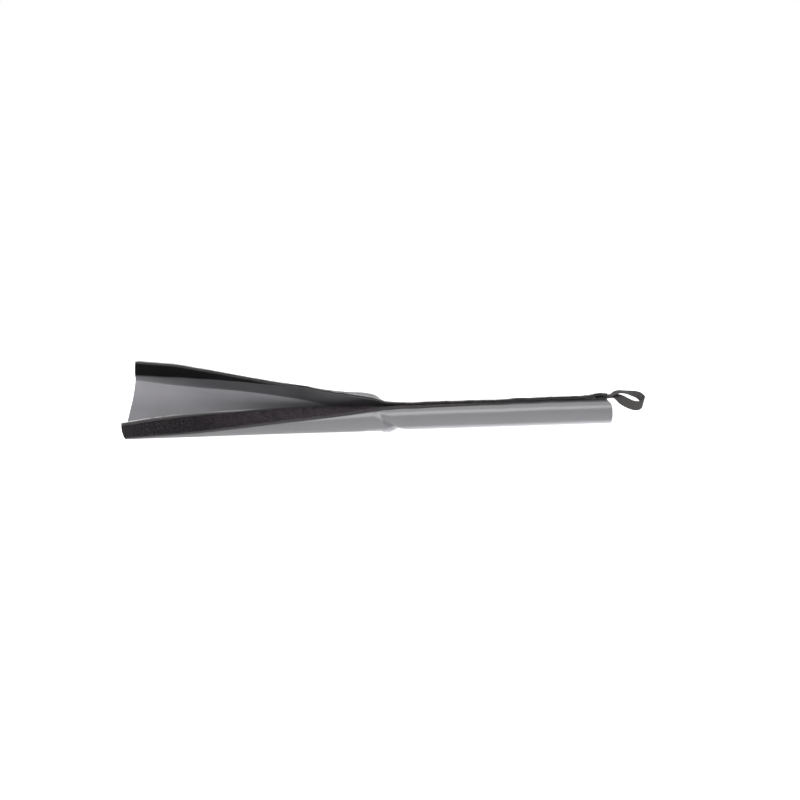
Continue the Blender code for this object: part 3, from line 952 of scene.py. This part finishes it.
@dataclass(frozen=True)
class WovenBand(Finish):
    """Black woven ribbon: a tape's selvedge or a webbing."""

    colour: Colour = (0.03, 0.0285, 0.0285)
    light: Colour = (0.085, 0.08, 0.079)
    pick: float = 0.8 * MM
    pick_turn: float = 18
    end: float = 0.5 * MM
    end_ramp: Ramp = (0, 1, 0.35, 1)
    depth: float = 0.12 * MM
    fuzz_scale: float = 2200
    fuzz_strength: float = 0.7

    def dress(self, nodes: Nodes) -> None:
        """Adds the picks and ends of the weave, and its fuzz.

        Args:
            nodes: the material's nodes.
        """
        cloth = nodes.flat(self.pick_turn).waves(self.pick)
        cloth = cloth * nodes.flat(90).waves(self.end).ramp(*self.end_ramp)
        fuzz = nodes.flat().noise(self.fuzz_scale)
        nodes.surface(
            Base_Color=cloth.mix(self.colour, self.light),
            Normal=fuzz.bump(self.depth / 3, self.fuzz_strength, cloth.bump(self.depth)),
            Roughness=0.7, Specular_IOR_Level=0.15, Sheen_Weight=0.08, Sheen_Roughness=0.4,
        )


@dataclass(frozen=True)
class Thread(Finish):
    """Black sewing thread, twisted."""

    colour: Colour = (0.03, 0.029, 0.028)
    # shine: painted highlight along the twist of the plies
    shine: Colour = (0.13, 0.125, 0.125)
    twist: float = 0.5 * MM
    twist_warp: float = 2
    twist_ramp: Ramp = (0.5, 1, 0, 1)
    depth: float = 0.05 * MM
    roughness: float = 0.4
    gloss: float = 0.4

    def dress(self, nodes: Nodes) -> None:
        """Adds the twist of the plies, with a painted highlight along it.

        Args:
            nodes: the material's nodes.
        """
        twist = nodes.solid().waves(self.twist, self.twist_warp)
        colour = twist.ramp(*self.twist_ramp).mix(self.colour, self.shine)
        nodes.surface(
            Base_Color=colour, Normal=twist.bump(self.depth),
            Roughness=self.roughness, Specular_IOR_Level=self.gloss,
        )


class Finishes:
    """The materials of all pieces, made once."""

    def __init__(self) -> None:
        """Makes every material."""
        self.outer = CoatedFabric().material("coated_fabric_outer")
        self.inner = Lining().material("coated_fabric_inner")
        self.cut = CutEdge().material("cut_edge")
        self.loops = Pile().material("loop_pile")
        self.hooks = Pile(
            colour=(0.0042, 0.004, 0.0043), fibre=(0.03, 0.0285, 0.0305), fibre_stretch=0.8,
            # painted light: the hooks grow much paler towards the crossing and along the closed half,
            # where they lie in shade
            fibre_width=0.5 * MM, lint_and_light_ramp=(-130 * MM, -10 * MM, 1, 24), sheen=0.01, shine=0.03,
        ).material("hook_field")
        self.selvedge = WovenBand().material("tape_selvedge")
        self.webbing = WovenBand(
            colour=(0.034, 0.032, 0.032), light=(0.1, 0.093, 0.091), pick=1.1 * MM, end=0.7 * MM
        ).material("webbing")
        self.thread = Thread().material("sewing_thread")
        self.edge_thread = Thread(
            colour=(0.006, 0.0056, 0.006), shine=(0.03, 0.028, 0.03), roughness=0.8, gloss=0.05
        ).material("edge_thread")


def soften(mesh: bpy.types.Mesh, sharp: float) -> None:
    """Shades a mesh smooth, but for edges steeper than sharp degrees."""
    mesh.shade_smooth()
    mesh.set_sharp_from_angle(angle=math.radians(sharp))


def new_piece(
    name: str, bm: bmesh.types.BMesh, materials: list[bpy.types.Material], sharp: float = 40
) -> Piece:
    """Makes an object of a finished bmesh.

    Args:
        name: the piece's name.
        bm: its geometry, which is freed.
        materials: its material slots.
        sharp: edges steeper than this many degrees stay sharp.

    Returns:
        The object, at the origin.
    """
    mesh = bpy.data.meshes.new(name)
    bm.to_mesh(mesh)
    bm.free()
    for made in materials:
        mesh.materials.append(made)
    soften(mesh, sharp)
    piece = bpy.data.objects.new(name, mesh)
    bpy.context.scene.collection.objects.link(piece)
    return piece


def settle(piece: Piece, sharp: float = 40) -> None:
    """Makes a piece's modifiers part of its mesh.

    Args:
        piece: the piece.
        sharp: edges steeper than this many degrees stay sharp.
    """
    graph = bpy.context.evaluated_depsgraph_get()
    mesh = bpy.data.meshes.new_from_object(piece.evaluated_get(graph))
    mesh.name = piece.name
    piece.modifiers.clear()
    piece.data = mesh
    soften(mesh, sharp)


def pattern_grid(rows: int, columns: int) -> tuple[bmesh.types.BMesh, np.ndarray]:
    """A flat grid whose corners are 0 and 1 both ways.

    Args:
        rows: parts along its first side.
        columns: parts along its second side.

    Returns:
        The bmesh, and each vertex's two shares.
    """
    bm = bmesh.new()
    bmesh.ops.create_grid(bm, x_segments=rows, y_segments=columns, size=0.5)
    shares = np.array([vert.co[:2] for vert in bm.verts]) + 0.5
    return bm, np.clip(shares, 0, 1)


def lay_out(bm: bmesh.types.BMesh, points: np.ndarray, first: np.ndarray, second: np.ndarray) -> None:
    """Moves a bmesh's vertices to their points, and keeps their places on the flat pattern.

    Args:
        bm: the bmesh.
        points: a point for each vertex.
        first: its place along the pattern, in metres.
        second: its place across the pattern, in metres.
    """
    layer = bm.loops.layers.uv.new("flat")
    bm.verts.index_update()
    for vert, point, *flat in zip(bm.verts, points, first, second):
        vert.co = point
        for loop in vert.link_loops:
            loop[layer].uv = flat


def add_stitch(bm: bmesh.types.BMesh, ends: np.ndarray, radius: float, detail: int = 2) -> None:
    """Adds one stitch as a long bead.

    Args:
        bm: the bmesh that it goes into.
        ends: its two end points.
        radius: of the bead.
        detail: how often its faces are divided.
    """
    way = Vector(ends[1] - ends[0])
    turn = way.to_track_quat("X", "Z").to_matrix().to_4x4()
    size = Matrix.Diagonal((way.length / 2, radius, radius, 1))
    place = Matrix.Translation(Vector((ends[0] + ends[1]) / 2)) @ turn @ size
    bmesh.ops.create_icosphere(bm, subdivisions=detail, radius=1, matrix=place)


def stand_for(piece: Piece, slot: str, *nodes: str) -> None:
    """Hides the frame's solids that a piece replaces."""
    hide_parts(*nodes)


@dataclass
class Blends:
    """Where the fabric would bend across the two fold lines; the pieces handed to it only have their
    placement baked.
    """

    form: SheetForm
    near_reach: float = 10 * MM
    far_reach: float = 24 * MM
    far_start_low: float = 8 * MM
    far_start_high: float = 32 * MM

    def bend(self, piece: Piece, flap: Body, start: Vector, along: Vector, reach: float) -> None:
        """Works out how far a bend from the sleeve to a flap would rise, and bakes the piece's placement
        into its mesh; the piece does not bend.

        Args:
            piece: the piece.
            flap: not used.
            start: a point where the bend starts.
            along: the way of the line that it starts at.
            reach: how far up it ends.
        """
        way, up = along.normalized(), Vector((0, 0, 1))
        rise = (up - way * up.dot(way)).normalized() * reach
        start + rise
        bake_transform(piece)

    def near(self, piece: Piece) -> None:
        """Hands a piece to bend with the near fold's line, which bakes its placement."""
        fold = joint("near_flap_fold")
        self.bend(piece, Body.NEAR_FLAP, Vector(fold["pos_m"]), Vector(fold["axis"]), self.near_reach)

    def far(self, piece: Piece) -> None:
        """Hands a piece to bend with the far fold's line, which bakes its placement.

        Args:
            piece: the piece.
        """
        start = Vector((self.form.open_end, 0, self.far_start_low))
        along = Vector((self.form.opened_length, 0, self.far_start_high - self.far_start_low))
        self.bend(piece, Body.FAR_FLAP, start, along, self.far_reach)


@dataclass
class Sheet:
    """The coated sheet, as a near and a far half that meet along the floor's middle."""

    form: SheetForm
    finishes: Finishes
    blends: Blends
    near_flat: float = 65 * MM
    far_flat: float = 75 * MM
    margin: float = 1.1 * MM
    rag: float = 0.3 * MM
    rag_size: float = 2.2 * MM
    row_count: int = 400
    near_columns: int = 52
    far_columns: int = 68
    mark_count: int = 60

    def middle(self, x: np.ndarray) -> np.ndarray:
        """The floor's middle on the flat pattern.

        Args:
            x: places along the sleeve.

        Returns:
            Places across the flat sheet.
        """
        marks = np.linspace(self.form.open_end, self.form.closed_end, self.mark_count)
        sections = [self.form.section(mark)[1] for mark in marks]
        found = [sum(s[0] for s in stretches[:4]) + stretches[4][0] / 2 for stretches in sections]
        return np.interp(x, marks, found)

    def half(self, name: str, near: bool) -> Piece:
        """Builds one half.

        Args:
            name: the piece's name.
            near: True for the near half.

        Returns:
            The piece.
        """
        form, finishes = self.form, self.finishes
        bm, shares = pattern_grid(self.row_count, self.near_columns if near else self.far_columns)
        x = form.open_end + form.length * shares[:, 0]
        free = -self.margin - form.drift(x) if near else form.width - self.margin * form.opened(x)
        free = free + self.rag * wander(x / self.rag_size, near)
        first, last = (free, self.middle(x)) if near else (self.middle(x), free)
        t = first + (last - first) * shares[:, 1]
        lay_out(bm, form.place(x, t), x, t)
        bmesh.ops.reverse_faces(bm, faces=bm.faces)
        piece = new_piece(name, bm, [finishes.outer, finishes.inner, finishes.cut])
        wall = piece.modifiers.new("wall", "SOLIDIFY")
        wall.thickness = form.thickness
        wall.offset = 0
        wall.use_even_offset = True
        wall.material_offset = 1
        wall.material_offset_rim = 2
        settle(piece)
        return piece

    def build(self) -> list[Piece]:
        """Builds both halves.

        Returns:
            The near half and the far half.
        """
        near = self.half("sheet_near_half", True)
        stand_for(near, "coated_fabric", "sleeve_shell", "near_flap_panel")
        self.blends.near(near)
        far = self.half("sheet_far_half", False)
        stand_for(far, "coated_fabric", "sleeve_shell", "far_flap_panel")
        self.blends.far(far)
        return [near, far]


@dataclass
class ClosureTape:
    """A hook or loop tape: a woven ground with selvedges and a raised field between them."""

    form: SheetForm
    finishes: Finishes
    name: str
    side: Side  # the side of the sheet that it is sewn to
    start: float  # place of its first edge across the flat sheet
    field_material: bpy.types.Material
    bend: Callable[[Piece], None]
    ground: float = 0.6 * MM
    height: float = 1.55 * MM
    selvedge: float = 1.6 * MM
    shoulder: float = 0.7 * MM
    seat: float = 0.06 * MM
    scallop: float = 0.55 * MM
    scallop_pitch: float = 2.6 * MM
    tuft: float = 0.18 * MM
    tuft_size: float = 0.9 * MM
    rows: int = 1270
    face_columns: int = 30
    field_share: float = 0.3  # of the rise, above which a face belongs to the field
    weld: float = 0.01 * MM
    sharp: float = 50

    def outline(self) -> tuple[np.ndarray, np.ndarray]:
        """The tape's section: up its first side, over its face, down, and back underneath.

        Returns:
            Places across the tape and heights over the sheet.
        """
        width = self.form.tape_width
        face = width * np.linspace(0, 1, self.face_columns + 1)
        from_edge = np.minimum(face, width - face)
        raised = smooth_step(from_edge, self.selvedge, self.selvedge + self.shoulder)
        over = self.ground + (self.height - self.ground) * raised
        across = np.concatenate(([0], face, [width, width / 2, 0]))
        return across, np.concatenate(([0], over, [0, 0, 0]))

    def build(self) -> list[Piece]:
        """Builds the tape.

        Returns:
            Its piece, in a list.
        """
        form, outer = self.form, self.side is Side.OUTER
        across, over = self.outline()
        bm, shares = pattern_grid(self.rows, len(across) - 1)
        x = form.open_end + form.length * shares[:, 0]
        column = np.rint(shares[:, 1] * (len(across) - 1)).astype(int)
        across, over = across[column], over[column]
        at_edge = 1 - smooth_step(np.minimum(across, form.tape_width - across), 0, self.selvedge)
        outwards = np.where(across < form.tape_width / 2, -1.0, 1.0)
        t = self.start + across - (form.drift(x) if outer else 0)
        t = t + outwards * at_edge * self.scallop * np.sin(x * math.tau / self.scallop_pitch)
        raised = smooth_step(over, self.ground, self.height)
        rough = wander(x / self.tuft_size, t / self.tuft_size, self.side.value)
        lift = form.thickness / 2 + self.seat + over + self.tuft * rough * raised
        lift = lift + (0 if outer else form.lap_rise(x, t) * over / self.height)
        lay_out(bm, form.place(x, t, self.side.value * lift), x, t)
        for face in bm.faces:
            inside = all(raised[vert.index] > self.field_share for vert in face.verts)
            face.material_index = 0 if inside else 1
        bmesh.ops.remove_doubles(bm, verts=bm.verts, dist=self.weld)
        ends = bmesh.ops.holes_fill(bm, edges=[edge for edge in bm.edges if edge.is_boundary], sides=0)
        for face in ends["faces"]:
            face.material_index = 1
        bmesh.ops.recalc_face_normals(bm, faces=bm.faces)
        piece = new_piece(self.name, bm, [self.field_material, self.finishes.selvedge], self.sharp)
        stand_for(piece, self.name, self.name + "_flap", self.name + "_closed")
        self.bend(piece)
        return [piece]


@dataclass
class Seams:
    """The rows of stitches that hold the tapes."""

    form: SheetForm
    finishes: Finishes
    blends: Blends
    inset: float = 2.0 * MM
    pitch: float = 3.1 * MM
    stitch: float = 2.5 * MM
    radius: float = 0.26 * MM
    tape_ground: float = 0.7 * MM
    whip_pitch: float = 2.6 * MM
    whip_radius: float = 0.68 * MM
    whip_out: float = 0.35 * MM
    whip_top: float = 0.95 * MM
    whip_flat: float = 0.25 * MM
    whip_stray: float = 0.75 * MM
    whip_bottom: float = 1.5 * MM
    sharp: float = 60

    def straight(self, t: float, lift: float) -> bmesh.types.BMesh:
        """One straight row of stitches.

        Args:
            t: its place across the flat sheet.
            lift: height over the sheet of what it is sewn to.

        Returns:
            Its geometry.
        """
        form = self.form
        middle = form.thickness / 2 + lift + self.radius / 2
        start = form.open_end + self.inset
        bm = bmesh.new()
        for k in range(int((form.closed_end - self.inset - start) / self.pitch)):
            x = start + (k + 0.5) * self.pitch + np.array((-0.5, 0.5)) * self.stitch
            row = t - (form.drift(x) if t < form.tape_width else np.zeros(2))
            add_stitch(bm, form.place(x, row, middle), self.radius, 1)
        return bm

    def whipped(self) -> bmesh.types.BMesh:
        """The stitches that wrap round the far edge, one beside the other.

        Returns:
            Their geometry.
        """
        form = self.form
        count = int((form.length - 2 * self.inset) / self.whip_pitch)
        x = form.open_end + self.inset + (np.arange(count) + 0.5) * self.whip_pitch
        flat = self.whip_flat * (1 - form.opened(x))
        t = form.width + self.whip_out - flat
        stray = self.whip_stray * wander(x / (3 * self.whip_pitch))
        top = form.place(x + stray / 2, t + stray, self.whip_top - flat + stray)
        bottom = form.place(x, t, -self.whip_bottom)
        bm = bmesh.new()
        for ends in zip(top, bottom):
            add_stitch(bm, ends, self.whip_radius)
        return bm

    def build(self) -> list[Piece]:
        """Builds the four seams.

        Returns:
            One piece for each.
        """
        form, thread = self.form, self.finishes.thread
        from_edge = self.inset / 2
        far_fold = form.width - form.tape_width + from_edge
        near, far = self.blends.near, self.blends.far
        pieces = []
        for seam, bm, material, bend in (
            ("loop_tape_edge", self.straight(from_edge, self.tape_ground), thread, near),
            ("loop_tape_fold", self.straight(form.tape_width - from_edge, self.tape_ground), thread, near),
            ("hook_tape_fold", self.straight(far_fold, 0), thread, far),
            ("hook_tape_edge", self.whipped(), self.finishes.edge_thread, far),
        ):
            piece = new_piece(seam + "_stitches", bm, [material], self.sharp)
            stand_for(piece, "thread", seam + "_seam_flap", seam + "_seam_closed")
            bend(piece)
            pieces.append(piece)
        return pieces


@dataclass
class BarTack:
    """The dense bar of stitches that holds the webbing's tail through the lap."""

    form: SheetForm
    finishes: Finishes
    length: float = 9 * MM
    width: float = 2.4 * MM
    pitch: float = 0.62 * MM
    radius: float = 0.3 * MM
    sharp: float = 60
    mark_count: int = 120

    def build(self) -> list[Piece]:
        """Builds the tack on the lap, over its solid's place.

        Returns:
            Its piece, in a list.
        """
        form = self.form
        low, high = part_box("tether_bar_tack")
        x, y = (low.x + high.x) / 2, (low.y + high.y) / 2
        lap = np.linspace(form.width - form.lap, form.width, self.mark_count)
        middle = lap[np.abs(form.place(np.full(lap.shape, x), lap)[:, 1] - y).argmin()]
        lift = form.thickness / 2 + self.radius / 2
        count = int(self.length / self.pitch)
        bm = bmesh.new()
        for k in range(count):
            t = middle + (k - (count - 1) / 2) * self.pitch
            lean = self.pitch / 2 * (-1) ** k
            sides = np.array((-0.5, 0.5))
            add_stitch(bm, form.place(x + sides * self.width, t + sides * 2 * lean, lift), self.radius)
        tack = new_piece("bar_tack", bm, [self.finishes.thread], self.sharp)
        stand_for(tack, "thread", "tether_bar_tack")
        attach(tack, Body.SLEEVE.value)
        return [tack]


@dataclass
class Tether:
    """The webbing loop at the closed end: one strip whose two ends are sewn in between the tapes."""

    form: SheetForm
    finishes: Finishes
    width: float = 10.8 * MM
    thickness: float = 1.2 * MM
    edge: float = 0.36 * MM
    bend_start: float = -3 * MM
    bend_length: float = 9 * MM
    row_count: int = 150
    column_count: int = 10

    # Each key: the middle line's place in millimetres from the root, and the width's direction.
    keys: tuple[tuple[Point, Point], ...] = (
        ((-13.0, 0.0, 1.4), (0.00, 1.00, -0.14)),
        ((-6.0, 0.0, 1.9), (0.00, 1.00, -0.14)),
        ((-0.5, 0.0, 2.6), (0.00, 1.00, -0.14)),
        ((3.6, 0.2, 3.7), (0.00, 1.00, -0.10)),
        ((7.8, 1.7, 5.6), (0.00, 1.00, 0.00)),
        ((13.4, 3.7, 6.3), (0.00, 1.00, 0.00)),
        ((20.9, 5.7, 5.0), (0.05, 1.00, 0.05)),
        ((27.7, 7.2, 3.1), (0.15, 1.00, 0.25)),
        ((34.4, 8.2, 1.0), (0.20, 0.90, 0.50)),
        ((39.4, 7.0, -2.0), (0.30, 0.60, 0.75)),
        ((41.2, 3.2, -5.5), (0.30, 0.25, 0.92)),
        ((37.2, -1.3, -8.7), (0.22, 0.10, 1.00)),
        ((29.8, -3.3, -8.8), (0.25, 0.05, 1.00)),
        ((21.7, -3.3, -5.7), (0.48, 0.15, 0.86)),
        ((15.0, -2.3, -1.9), (0.45, 0.45, 0.77)),
        ((9.4, -1.3, 1.2), (0.25, 0.85, 0.40)),
        ((4.6, -0.4, 2.0), (0.05, 1.00, 0.00)),
        ((-0.5, -0.2, 1.2), (0.00, 1.00, -0.14)),
        ((-6.0, 0.0, 0.6), (0.00, 1.00, -0.14)),
        ((-13.0, 0.0, 0.1), (0.00, 1.00, -0.14)),
    )

    @staticmethod
    def curve(values: np.ndarray, share: np.ndarray) -> np.ndarray:
        """A smooth curve through some values.

        Args:
            values: one row for each key.
            share: from 0 to 1 along the curve.

        Returns:
            One row for each share.
        """
        spots = share * (len(values) - 1)
        k = np.minimum(spots.astype(int), len(values) - 2)
        s = (spots - k)[:, None]
        a, b = values[np.maximum(k - 1, 0)], values[k]
        c, d = values[k + 1], values[np.minimum(k + 2, len(values) - 1)]
        bend = 2 * a - 5 * b + 4 * c - d
        twist = 3 * b - a - 3 * c + d
        return (2 * b + (c - a) * s + bend * s * s + twist * s**3) / 2

    def build(self) -> list[Piece]:
        """Builds the strip, which bends where it leaves the tapes.

        Returns:
            Its piece, in a list.
        """
        low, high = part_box("tether_tail")
        root = Vector((high.x + self.form.gap, (low.y + high.y) / 2, (low.z + high.z) / 2))
        share = np.linspace(0, 1, self.row_count + 1)
        points = self.curve(np.array([place for place, _ in self.keys]) * MM + np.array(root), share)
        turns = np.array([side for _, side in self.keys])
        sides = self.curve(turns / np.linalg.norm(turns, axis=1, keepdims=True), share)
        sides /= np.linalg.norm(sides, axis=1, keepdims=True)
        bm, shares = pattern_grid(self.row_count, self.column_count)
        row = np.rint(shares[:, 0] * self.row_count).astype(int)
        passed = np.concatenate(([0], np.cumsum(np.linalg.norm(np.diff(points, axis=0), axis=1))))
        across = (shares[:, 1] - 0.5) * self.width
        lay_out(bm, points[row] + sides[row] * across[:, None], passed[row], across)
        strip = new_piece("webbing_loop", bm, [self.finishes.webbing])
        wall = strip.modifiers.new("wall", "SOLIDIFY")
        wall.thickness = self.thickness
        wall.offset = 0
        edge = strip.modifiers.new("edge", "BEVEL")
        edge.width = self.edge
        edge.segments = 2
        edge.limit_method = "ANGLE"
        settle(strip)
        stand_for(strip, "webbing", "tether_loop", "tether_tail")
        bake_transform(strip)
        return [strip]


@dataclass(frozen=True)
class Lamp:
    """A soft rectangular lamp."""

    name: str
    place: Point
    aim: Point  # the point that it faces
    size: Span  # its two sides
    power: float  # in watts

    def build(self) -> None:
        """Hangs the lamp."""
        data = bpy.data.lights.new(self.name, "AREA")
        data.shape = "RECTANGLE"
        data.size, data.size_y = self.size
        data.energy = self.power
        made = bpy.data.objects.new(self.name, data)
        turn = (Vector(self.aim) - Vector(self.place)).to_track_quat("-Z", "Y")
        made.matrix_world = Matrix.Translation(Vector(self.place)) @ turn.to_matrix().to_4x4()
        bpy.context.scene.collection.objects.link(made)


@dataclass
class Studio:
    """Camera, lamps, world and floor."""

    picture: float = 800  # the photograph's sides, in pixels
    focal: float = 811  # in pixels
    elevation: float = 15
    roll: float = 1.9
    distance: float = 0.92
    anchor: Point = (0, -0.0135, 0)
    anchor_pixel: Span = (367.6, 431.0)
    sensor: float = 36
    clip: Span = (0.01, 20)
    sky: Colour = (0.97, 0.98, 1)
    sky_light: float = 0.2
    table: Colour = (0.8, 0.8, 0.81)
    table_size: float = 4
    table_gap: float = 0.1 * MM
    table_light: float = 1.2
    table_view: float = 0.86
    lamps: tuple[Lamp, ...] = (
        Lamp("key_light", (-0.05, -0.56, 1.13), (0, 0, 0), (2.0, 0.8), 16),
        Lamp("front_light", (-0.1, -1.5, 0.45), (0, 0, 0.02), (2.2, 0.9), 3),
        Lamp("back_light", (0.0, 0.3, 1.2), (0, 0, 0), (1.8, 0.5), 2.5),
    )

    def camera(self) -> None:
        """Puts the camera where the photograph was taken from."""
        tilt, roll = math.radians(self.elevation), math.radians(self.roll)
        ahead = Vector((0, math.cos(tilt), -math.sin(tilt)))
        right = Vector((1, 0, 0))
        up = right.cross(ahead)
        leaning_right = right * math.cos(roll) - up * math.sin(roll)
        leaning_up = right * math.sin(roll) + up * math.cos(roll)
        dx = self.anchor_pixel[0] - self.picture / 2
        dy = self.picture / 2 - self.anchor_pixel[1]
        place = Vector(self.anchor) - ahead * self.distance
        place -= (leaning_right * dx + leaning_up * dy) * (self.distance / self.focal)
        data = bpy.data.cameras.new("camera")
        data.sensor_width = self.sensor
        data.lens = self.focal / self.picture * self.sensor
        data.clip_start, data.clip_end = self.clip
        eye = bpy.data.objects.new("camera", data)
        columns = (leaning_right, leaning_up, -ahead)
        eye.matrix_world = Matrix.Translation(place) @ Matrix(columns).transposed().to_4x4()
        bpy.context.scene.collection.objects.link(eye)
        bpy.context.scene.camera = eye

    @staticmethod
    def seen(nodes: Nodes) -> Wire:
        """A share that is 1 for rays seen directly, in gloss or through glass.

        Args:
            nodes: the shader's nodes.

        Returns:
            The share.
        """
        rays = nodes.add("LightPath").outputs
        share = Wire(nodes, rays["Is Camera Ray"])
        for name in ("Is Glossy Ray", "Is Transmission Ray"):
            share = share.math("MAXIMUM", Wire(nodes, rays[name]))
        return share

    def world(self) -> None:
        """Even soft light, with a white background."""
        world = bpy.data.worlds.new("world")
        world.use_nodes = True
        nodes = Nodes(world.node_tree)
        nodes.tree.nodes.clear()
        soft = nodes.add("Background", {"Color": self.sky, "Strength": self.sky_light})
        white = nodes.add("Background", {"Color": (1, 1, 1)})
        both = nodes.add("MixShader", {0: self.seen(nodes), 1: soft.outputs[0], 2: white.outputs[0]})
        nodes.add("OutputWorld", {0: both.outputs[0]})
        bpy.context.scene.world = world

    def floor(self) -> None:
        """A pale floor that looks white and keeps the sleeve's shadow."""
        made = bpy.data.materials.new("floor")
        made.use_nodes = True
        nodes = Nodes(made.node_tree)
        nodes.tree.nodes.clear()
        strength = self.seen(nodes).ramp(0, 1, self.table_light, self.table_view)
        paint = nodes.add("BsdfDiffuse", {"Color": self.table})
        glow = nodes.add("Emission", {"Strength": strength})
        both = nodes.add("AddShader", {0: paint.outputs[0], 1: glow.outputs[0]})
        nodes.add("OutputMaterial", {0: both.outputs[0]})
        bm = bmesh.new()
        bmesh.ops.create_grid(bm, x_segments=1, y_segments=1, size=self.table_size)
        bmesh.ops.translate(bm, verts=bm.verts, vec=(0, 0, -self.table_gap))
        new_piece("floor", bm, [made])

    def build(self) -> None:
        """Sets up the whole studio."""
        bpy.context.scene.view_settings.view_transform = "Standard"
        self.camera()
        self.world()
        self.floor()
        for lamp in self.lamps:
            lamp.build()


def main() -> None:
    """Builds the studio and every piece of the sleeve, and writes how large they are."""
    logging.basicConfig(level=logging.INFO)
    Studio().build()
    form = SheetForm()
    finishes = Finishes()
    blends = Blends(form)
    loop_tape = ClosureTape(form, finishes, "loop_tape", Side.OUTER, 0, finishes.loops, blends.near)
    hook_tape = ClosureTape(
        form, finishes, "hook_tape", Side.INNER, form.width - form.tape_width, finishes.hooks, blends.far,
        ground=1.15 * MM, scallop=0.8 * MM,
    )
    for assembly in (
        Sheet(form, finishes, blends), loop_tape, hook_tape, Seams(form, finishes, blends),
        Tether(form, finishes), BarTack(form, finishes),
    ):
        for piece in assembly.build():
            log.info("%s: %d vertices", piece.name, len(piece.data.vertices))


if __name__ == "__main__":
    main()
